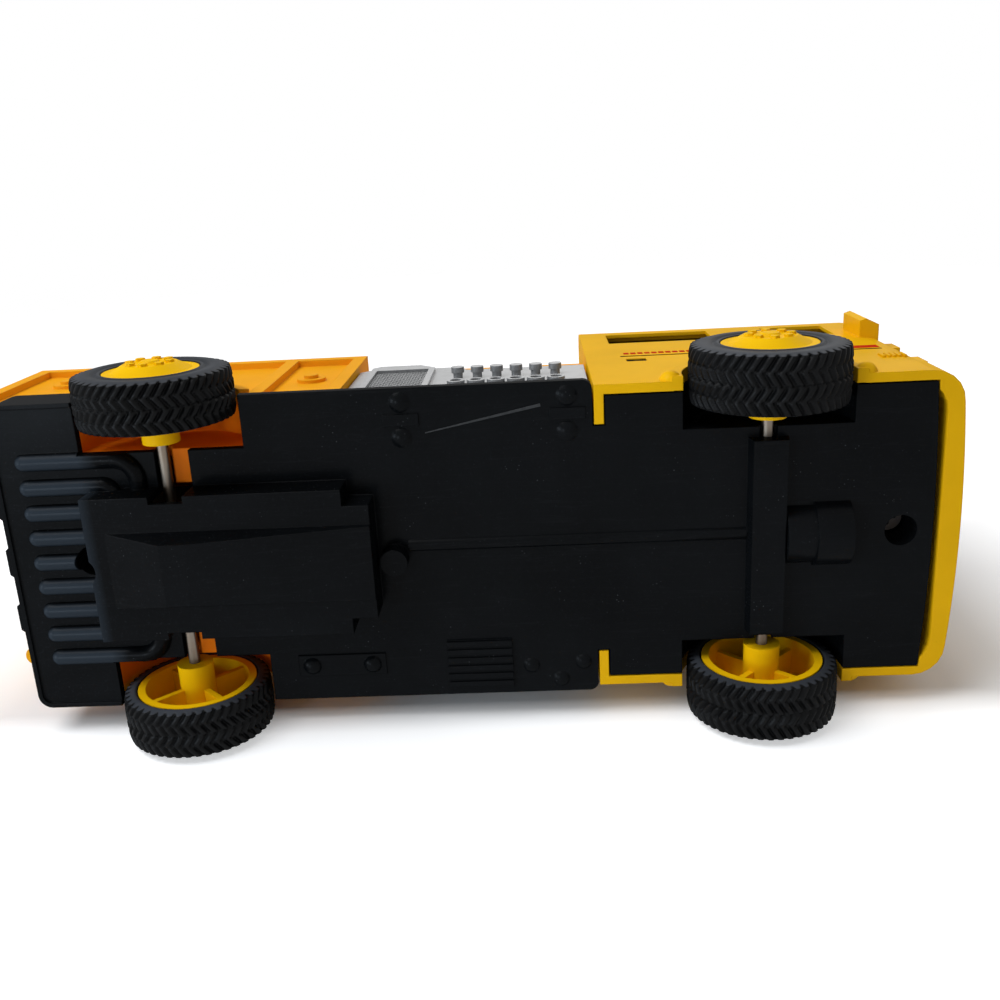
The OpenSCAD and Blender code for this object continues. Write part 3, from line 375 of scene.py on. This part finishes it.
def dress_cad_nodes():
    for part in frame["record"]["subparts"]:
        mesh = nodes[part["node"]].data
        mesh.materials.clear()
        mesh.materials.append(MATERIALS[part["material_slot"]])


# Mesh helpers

def finish_piece(name, bm, body, slot, material=None, smooth=False):
    """Make a piece of a mesh on a body, with the given material or else the material of a slot of the part."""
    bmesh.ops.recalc_face_normals(bm, faces=bm.faces)
    mesh = bpy.data.meshes.new(name)
    bm.to_mesh(mesh)
    bm.free()
    for face in mesh.polygons:
        face.use_smooth = smooth
    mesh.materials.append(material or MATERIALS[slot])
    piece = bpy.data.objects.new(name, mesh)
    bpy.context.scene.collection.objects.link(piece)
    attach(piece, body)
    return piece


def side_span(side_name, near, far):
    """The low and high y of a layer between two distances from the truck's middle."""
    return sorted((SIDES[side_name] * near, SIDES[side_name] * far))


def add_box(bm, low, high):
    size = Vector(high) - Vector(low)
    middle = (Vector(high) + Vector(low)) / 2
    matrix = Matrix.Translation(middle) @ Matrix.Diagonal((*size, 1.0))
    bmesh.ops.create_cube(bm, size=1.0, matrix=matrix)


def add_prism(bm, first_corners, last_corners):
    """A closed solid between two rings of corners."""
    first = [bm.verts.new(corner) for corner in first_corners]
    last = [bm.verts.new(corner) for corner in last_corners]
    bm.faces.new(first)
    bm.faces.new(last)
    add_band(bm, first, last)


def add_band(bm, first, last):
    """Faces between two closed rings of vertices."""
    count = len(first)
    for i in range(count):
        j = (i + 1) % count
        bm.faces.new((first[i], first[j], last[j], last[i]))


def bevel_all(bm, width):
    bmesh.ops.bevel(bm, geom=list(bm.edges), offset=width, segments=1, affect="EDGES", profile=0.5)


# Tyres with a herringbone tread

TREAD_TEETH = 46
TREAD_BANDS = 4
STEPS_PER_TOOTH = 8
TREAD_ROWS = 26
TREAD_DEEP = 0.75 * MM
TREAD_INSET = 0.4 * MM
CROWN = 0.35 * MM

# The groove beside a band as a share of the band's width and of the tread's depth, the lean and the cut of a
# tooth as shares of its pitch, and the rim without a groove as a share of the tread's width
BAND_GROOVE = 0.12
GROOVE_DEPTH = 0.6
SLANT = 0.85
CUT_OPENS = (0.0, 0.14)
CUT_CLOSES = (0.36, 0.5)
TREAD_RIM = 0.02

# Corners of the tyre's outline in mm: the first figure from the hub's seat, the tread or the lip of the hub's
# opening, the second in from the tyre's side
SEAT_GAP = 0.06 * MM
LIP_R = 7.86 * MM
SEAT_CORNERS = ((0.0, 0.3), (0.4, 0.0))
SHOULDER_CORNERS = ((-1.9, 0.0), (-1.5, 0.12), (-0.7, 0.35))
LIP_CORNERS = ((1.6, 0.0), (1.3, 0.35), (0.9, 0.35), (0.6, 0.0), (0.2, 0.0), (0.0, 0.2), (0.0, 1.35))


def smooth_step(value, low, high):
    t = min(1.0, max(0.0, (value - low) / (high - low)))
    return t * t * (3 - 2 * t)


def tread_depth(turn, across):
    """Depth of the tread, from 0 to 1, at a share of a turn and a share of the tread's width."""
    band = min(TREAD_BANDS - 1, int(across * TREAD_BANDS))
    odd = band % 2
    inside = across * TREAD_BANDS - band
    lean = -SLANT if odd else SLANT
    phase = (turn * TREAD_TEETH + lean * inside + 0.5 * odd) % 1.0
    cut = smooth_step(phase, *CUT_OPENS) * (1 - smooth_step(phase, *CUT_CLOSES))
    if across < TREAD_RIM or across > 1 - TREAD_RIM:
        return cut
    groove = 1 - smooth_step(min(inside, 1 - inside), 0.0, BAND_GROOVE)
    return max(cut, GROOVE_DEPTH * groove)


def tyre_outline(in_y, out_y, seat_r):
    """Corners of a tyre's closed outline: radius, distance from the truck's middle, share of the tread or None."""
    seat = [(seat_r + rise * MM, inset * MM) for rise, inset in SEAT_CORNERS]
    shoulder = [(TYRE_R + rise * MM, inset * MM) for rise, inset in SHOULDER_CORNERS]
    lip = [(LIP_R + rise * MM, inset * MM) for rise, inset in LIP_CORNERS]
    lip.append((seat_r, lip[-1][1]))
    outline = [(radius, in_y + inset, None) for radius, inset in seat + shoulder]
    for row in range(TREAD_ROWS + 1):
        across = row / TREAD_ROWS
        radius = TYRE_R - CROWN * (2 * across - 1) ** 4
        outline.append((radius, in_y + TREAD_INSET + (out_y - in_y - 2 * TREAD_INSET) * across, across))
    outline += [(radius, out_y - inset, None) for radius, inset in shoulder[::-1] + lip]
    return outline


def make_tyre(axle, side_name):
    node = f"tyre_{axle}_{side_name}"
    low, high = (Vector(c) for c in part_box(node))
    hub_low, hub_high = (Vector(c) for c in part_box(f"hub_{axle}_{side_name}"))
    in_y, out_y = sorted((abs(low.y), abs(high.y)))
    outline = tyre_outline(in_y, out_y, (hub_high.z - hub_low.z) / 2 + SEAT_GAP)
    steps = TREAD_TEETH * STEPS_PER_TOOTH
    bm = bmesh.new()
    rings = []
    for step in range(steps):
        turn = step / steps
        angle = 2 * math.pi * turn
        ring = []
        for radius, y, across in outline:
            r = radius if across is None else radius - TREAD_DEEP * tread_depth(turn, across)
            x, z = AXLE_X[axle] + r * math.cos(angle), AXLE_Z + r * math.sin(angle)
            ring.append(bm.verts.new((x, SIDES[side_name] * y, z)))
        rings.append(ring)
    for step, ring in enumerate(rings):
        add_band(bm, ring, rings[(step + 1) % steps])
    piece = finish_piece(f"tread_{axle}_{side_name}", bm, f"{axle}_wheels", "tyre_rubber", smooth=True)
    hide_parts(node)


# Diamond mesh in the frame of each pump panel

MESH_LOW = Vector((panel_low.x + 3.5 * MM, 0, panel_low.z + 1.1 * MM))
MESH_HIGH = Vector((panel_low.x + 13.1 * MM, 0, panel_high.z - 4.1 * MM))
MESH_FLOOR_Y = panel_high.y - 2.0 * MM
MESH_SLOPE = 0.75
MESH_PITCH = 1.05 * MM
BAR_WIDTH = 0.3 * MM
BAR_TOP = 0.55
BAR_ROOT = 0.05 * MM
BAR_RISE = 0.28 * MM
BAR_SHORTEST = 0.02
SHADE_UNDER = 0.03 * MM
SHADE_OVER = 0.04 * MM


def add_mesh_bar(bm, start, end, side):
    """A thin bar between two places in the XZ plane, cut off at the ends of the mesh."""
    span = end.x - start.x
    shares = sorted(((MESH_LOW.x - start.x) / span, (MESH_HIGH.x - start.x) / span))
    first, last = max(0.0, shares[0]), min(1.0, shares[1])
    if last - first < BAR_SHORTEST:
        return
    a, b = start.lerp(end, first), start.lerp(end, last)
    along = (b - a).normalized()
    across = Vector((along.z, 0, -along.x)) * BAR_WIDTH / 2
    root = Vector((0, side * (MESH_FLOOR_Y - BAR_ROOT), 0))
    top = root + Vector((0, side * BAR_RISE, 0))
    rings = []
    for foot, half in ((root, across), (top, across * BAR_TOP)):
        rings.append([foot + corner for corner in (a - half, b - half, b + half, a + half)])
    add_prism(bm, *rings)


def make_pump_mesh(side_name):
    run = (MESH_HIGH.z - MESH_LOW.z) * MESH_SLOPE
    count = int((MESH_HIGH.x - MESH_LOW.x + run) / MESH_PITCH) + 1
    bm = bmesh.new()
    for lean in (1, -1):
        first_x = MESH_LOW.x - (run if lean > 0 else 0)
        for i in range(count):
            foot = first_x + i * MESH_PITCH
            start, end = Vector((foot, 0, MESH_LOW.z)), Vector((foot + lean * run, 0, MESH_HIGH.z))
            add_mesh_bar(bm, start, end, SIDES[side_name])
    finish_piece(f"pump_mesh_{side_name}", bm, "truck", "pump_silver")
    low_y, high_y = side_span(side_name, MESH_FLOOR_Y - SHADE_UNDER, MESH_FLOOR_Y + SHADE_OVER)
    bm = bmesh.new()
    add_box(bm, (MESH_LOW.x, low_y, MESH_LOW.z), (MESH_HIGH.x, high_y, MESH_HIGH.z))
    finish_piece(f"mesh_shade_{side_name}", bm, "truck", "pump_silver", MESH_SHADE)


# Trim on the cab's sides. A plate is given as x, z, length and height

DOOR_X = cab_low.x + 6.4 * MM
FRONT_X = cab_low.x + 46 * MM
DASH_X = DOOR_X + 0.8 * MM
DASH_PITCH = 1.3 * MM
DASHES = [(DASH_X + i * DASH_PITCH, 38.6 * MM, 0.95 * MM, 1.5 * MM) for i in range(10)]
DOOR_LINE = (DOOR_X, 36.4 * MM, 13.5 * MM, 0.5 * MM)
FRONT_STRIPE = (FRONT_X, 34.6 * MM, 7 * MM, 2.4 * MM)
FRONT_LINE = (FRONT_X, 33.2 * MM, 7 * MM, 0.5 * MM)
# Dark plates sunk in the door handle recesses are painted shade
HANDLE_SHADES = [(cab_low.x + x, 31.5 * MM, 3.6 * MM, 2.6 * MM) for x in (7.2 * MM, 38.8 * MM)]
RIB_X = cab_high.x - 10.5 * MM
RIB_PITCH = 0.9 * MM
RIBS = [(RIB_X + i * RIB_PITCH, 24.5 * MM, 0.55 * MM, 3 * MM) for i in range(5)]

# How far plates reach into the cab's side and out of it, and the bevel of their edges
PRINT_LAYER = (0.03 * MM, 0.06 * MM, 0.02 * MM)
HANDLE_SHADE_LAYER = (1.03 * MM, -0.2 * MM, 0.02 * MM)
RIB_LAYER = (0.2 * MM, 0.35 * MM, 0.1 * MM)


def add_cab_plates(name, side_name, plates, layer, material=None):
    under, over, bevel = layer
    low_y, high_y = side_span(side_name, CAB_SIDE_Y - under, CAB_SIDE_Y + over)
    bm = bmesh.new()
    for x, z, length, height in plates:
        add_box(bm, (x, low_y, z), (x + length, high_y, z + height))
    bevel_all(bm, bevel)
    finish_piece(f"{name}_{side_name}", bm, "truck", "cab_yellow", material)


def make_cab_trim(side_name):
    add_cab_plates("door_dashes", side_name, DASHES, PRINT_LAYER, RED_PRINT)
    add_cab_plates("door_line", side_name, [DOOR_LINE], PRINT_LAYER, DARK_PRINT)
    add_cab_plates("front_stripe", side_name, [FRONT_STRIPE], PRINT_LAYER, RED_PRINT)
    add_cab_plates("front_line", side_name, [FRONT_LINE], PRINT_LAYER, DARK_PRINT)
    # Painted shade: dark plates in the door handle recesses
    add_cab_plates("handle_shade", side_name, HANDLE_SHADES, HANDLE_SHADE_LAYER, DARK_PRINT)
    add_cab_plates("side_marker", side_name, RIBS, RIB_LAYER)


# Glasses of the head lamps

LAMP_X = CAB_FACE_X + 0.45 * MM
LAMP_Y = (15.2 * MM, 19.0 * MM)
LAMP_Z = 27.0 * MM
LAMP_R = 1.28 * MM
LAMP_BULGE = 0.4


def make_head_lamps():
    shape = Matrix.Rotation(math.radians(90), 4, "Y") @ Matrix.Diagonal((1, 1, LAMP_BULGE, 1))
    for side_name, side in SIDES.items():
        bm = bmesh.new()
        for y in LAMP_Y:
            matrix = Matrix.Translation((LAMP_X, side * y, LAMP_Z)) @ shape
            bmesh.ops.create_uvsphere(bm, u_segments=24, v_segments=12, radius=LAMP_R, matrix=matrix)
        finish_piece(f"head_lamps_{side_name}", bm, "truck", "red_lens", CLEAR_LENS, smooth=True)


# Scuffed line on the underside, between two places in XY

SCUFF_ENDS = (Vector((-4.6, -20.3, 0)) * MM, Vector((14.6, -24.2, 0)) * MM)
SCUFF_WIDTHS = (0.18 * MM, 0.5 * MM)
SCUFF_Z = (BASE_Z - 0.12 * MM, BASE_Z + 0.1 * MM)


def make_belly_scuff():
    start, end = SCUFF_ENDS
    along = (end - start).normalized()
    across = Vector((along.y, -along.x, 0))
    near, far = (across * width / 2 for width in SCUFF_WIDTHS)
    corners = (start - near, end - far, end + far, start + near)
    bm = bmesh.new()
    add_prism(bm, *([corner + Vector((0, 0, z)) for corner in corners] for z in SCUFF_Z))
    finish_piece("belly_scuff", bm, "truck", "black_plastic", PALE_SCUFF)


# Camera, fitted to the photograph: place in metres, turn about X, Y and Z in degrees, lens and sensor in mm

CAMERA_PLACE = Vector((14.35, -61.8, -156.5)) * MM
CAMERA_TURN = (17.67, 2.31, -2.26)
CAMERA_LENS = 37.8
SENSOR = 36.0
CLIP_START = 0.01


def make_camera():
    about = [Matrix.Rotation(math.radians(angle), 3, axis) for angle, axis in zip(CAMERA_TURN, "XYZ")]
    turn = about[2] @ about[1] @ about[0]
    axes = Matrix((turn[0], -turn[1], -turn[2])).transposed()
    data = bpy.data.cameras.new("camera")
    data.lens = CAMERA_LENS
    data.sensor_width = SENSOR
    data.clip_start = CLIP_START
    camera = bpy.data.objects.new("camera", data)
    camera.matrix_world = Matrix.Translation(CAMERA_PLACE) @ axes.to_4x4()
    bpy.context.scene.collection.objects.link(camera)
    bpy.context.scene.camera = camera


# Floor, which the truck's left side lies on. It is lifted to white away from the truck's shadow

FLOOR_Y = 34.0 * MM
FLOOR_NORMAL = Vector((0, -1, -0.06))
FLOOR_R = 0.55
FLOOR_FADE = (0.4 * FLOOR_R, 0.98 * FLOOR_R)
FLOOR_COLOUR = (0.9, 0.9, 0.9, 1)
FLOOR_LIFT = 0.47
SHADOW_Z = (9 * MM, 18 * MM)
BEHIND_Z = (65 * MM, 105 * MM)
SHADOW_X = (88 * MM, 135 * MM)


def pale_floor():
    """White floor with a shadow, which fades out to its rim and isn't seen from its back."""
    n = Nodes("pale_floor")
    n.tree.nodes.remove(n.shader)
    white = n.add("ShaderNodeBsdfDiffuse")
    white.inputs["Color"].default_value = FLOOR_COLOUR
    spot = n.split(n.geometry("Position"))
    before = n.ramp(spot["Z"], *SHADOW_Z, 1.0, 0.0)
    behind = n.ramp(spot["Z"], *BEHIND_Z)
    beside = n.ramp(n.size_of(spot["X"]), *SHADOW_X)
    away = n.math("MAXIMUM", n.math("MAXIMUM", before, behind), beside)
    glow = n.add("ShaderNodeEmission")
    n.link(n.product(background_ray(n.tree), n.product(away, FLOOR_LIFT)), glow.inputs["Strength"])
    lifted = n.add("ShaderNodeAddShader")
    n.link(white.outputs["BSDF"], lifted.inputs[0])
    n.link(glow.outputs["Emission"], lifted.inputs[1])
    reach = n.add("ShaderNodeVectorMath", operation="LENGTH")
    n.link(n.place, reach.inputs[0])
    fade = n.ramp(reach.outputs["Value"], *FLOOR_FADE)
    clear = n.add("ShaderNodeBsdfTransparent")
    blend = n.add("ShaderNodeMixShader")
    n.link(n.math("MAXIMUM", fade, n.geometry("Backfacing")), blend.inputs["Fac"])
    n.link(lifted.outputs["Shader"], blend.inputs[1])
    n.link(clear.outputs["BSDF"], blend.inputs[2])
    n.link(blend.outputs["Shader"], n.tree.nodes["Material Output"].inputs["Surface"])
    return n.material


def make_floor():
    bm = bmesh.new()
    bmesh.ops.create_circle(bm, cap_ends=True, segments=96, radius=FLOOR_R)
    mesh = bpy.data.meshes.new("floor")
    bm.to_mesh(mesh)
    bm.free()
    mesh.materials.append(pale_floor())
    floor = bpy.data.objects.new("floor", mesh)
    turn = FLOOR_NORMAL.normalized().to_track_quat("Z", "Y").to_matrix().to_4x4()
    floor.matrix_world = Matrix.Translation((0, FLOOR_Y, 0)) @ turn
    bpy.context.scene.collection.objects.link(floor)


# Light: the place and size of each in metres, its power in watts, and its colour

COOL = (0.74, 0.87, 1.0)
LIGHTS = {
    "window": ((-0.28, -0.54, -0.11), 0.4, 2.75, (0.95, 0.97, 1.0)),
    "rear_window": ((-0.5, -0.05, -0.25), 0.18, 0.9, COOL),
    "low_window": ((-0.26, 0.0, -0.4), 0.08, 0.36, COOL),
    "roof_side": ((0.15, -0.35, 0.5), 0.5, 0.9, (1.0, 0.98, 0.95)),
}
LIGHT_TARGET = Vector((0, 0, 30 * MM))
SKY_COLOUR = (0.95, 0.97, 1.0, 1)
SKY_STRENGTH = 0.27


def make_lights():
    for name, (place, size, power, colour) in LIGHTS.items():
        data = bpy.data.lights.new(name, "AREA")
        data.size = size
        data.energy = power
        data.color = colour
        light = bpy.data.objects.new(name, data)
        turn = (LIGHT_TARGET - Vector(place)).to_track_quat("-Z", "Y").to_matrix().to_4x4()
        light.matrix_world = Matrix.Translation(place) @ turn
        bpy.context.scene.collection.objects.link(light)


def make_world():
    """A soft sky for the light on the truck, and plain white where the background is seen."""
    world = bpy.data.worlds.new("studio")
    bpy.context.scene.world = world
    world.use_nodes = True
    tree = world.node_tree
    soft = tree.nodes["Background"]
    soft.inputs["Color"].default_value = SKY_COLOUR
    soft.inputs["Strength"].default_value = SKY_STRENGTH
    white = tree.nodes.new("ShaderNodeBackground")
    white.inputs["Color"].default_value = (1, 1, 1, 1)
    white.inputs["Strength"].default_value = 1.0
    blend = tree.nodes.new("ShaderNodeMixShader")
    tree.links.new(background_ray(tree), blend.inputs["Fac"])
    tree.links.new(soft.outputs["Background"], blend.inputs[1])
    tree.links.new(white.outputs["Background"], blend.inputs[2])
    tree.links.new(blend.outputs["Shader"], tree.nodes["World Output"].inputs["Surface"])


# Build

make_camera()
make_floor()
make_lights()
make_world()
dress_cad_nodes()
for axle_name in AXLE_X:
    for side_of_truck in SIDES:
        make_tyre(axle_name, side_of_truck)
for side_of_truck in SIDES:
    make_pump_mesh(side_of_truck)
    make_cab_trim(side_of_truck)
make_head_lamps()
make_belly_scuff()

bpy.context.scene.view_settings.view_transform = "Standard"
